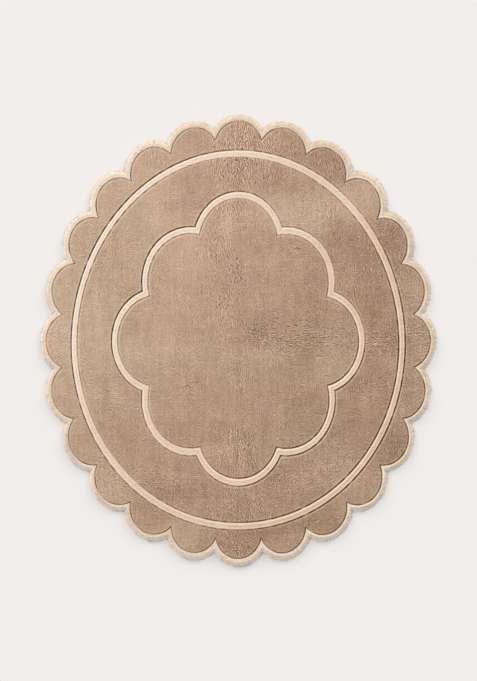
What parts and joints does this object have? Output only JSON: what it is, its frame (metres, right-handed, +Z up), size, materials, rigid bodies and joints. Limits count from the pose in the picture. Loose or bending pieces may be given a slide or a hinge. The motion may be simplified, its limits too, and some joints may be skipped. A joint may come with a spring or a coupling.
{
  "type": "scalloped rug",
  "caption": "Flat oval cut-pile rug with a scalloped edge in a lighter border, a lighter ring inside it and a lobed outline in the middle, each with clipped grooves.",
  "frame": {"origin": "on the floor, under the middle of the rug's box", "axes": "+Z up out of the pile; +Y along the rug's length, towards the lobe that stands furthest out; +X across its width"},
  "size_m": [1.75, 2, 0.018],
  "materials": {
    "taupe_pile": "dense short cut wool pile, matt with a soft sheen",
    "cream_pile": "dense short cut wool pile, matt with a soft sheen",
    "backing_cloth": "plain coarse cotton cloth, matt"
  },
  "bodies": {
    "root": {"rug": "taupe_pile"}
  },
  "joints": []
}
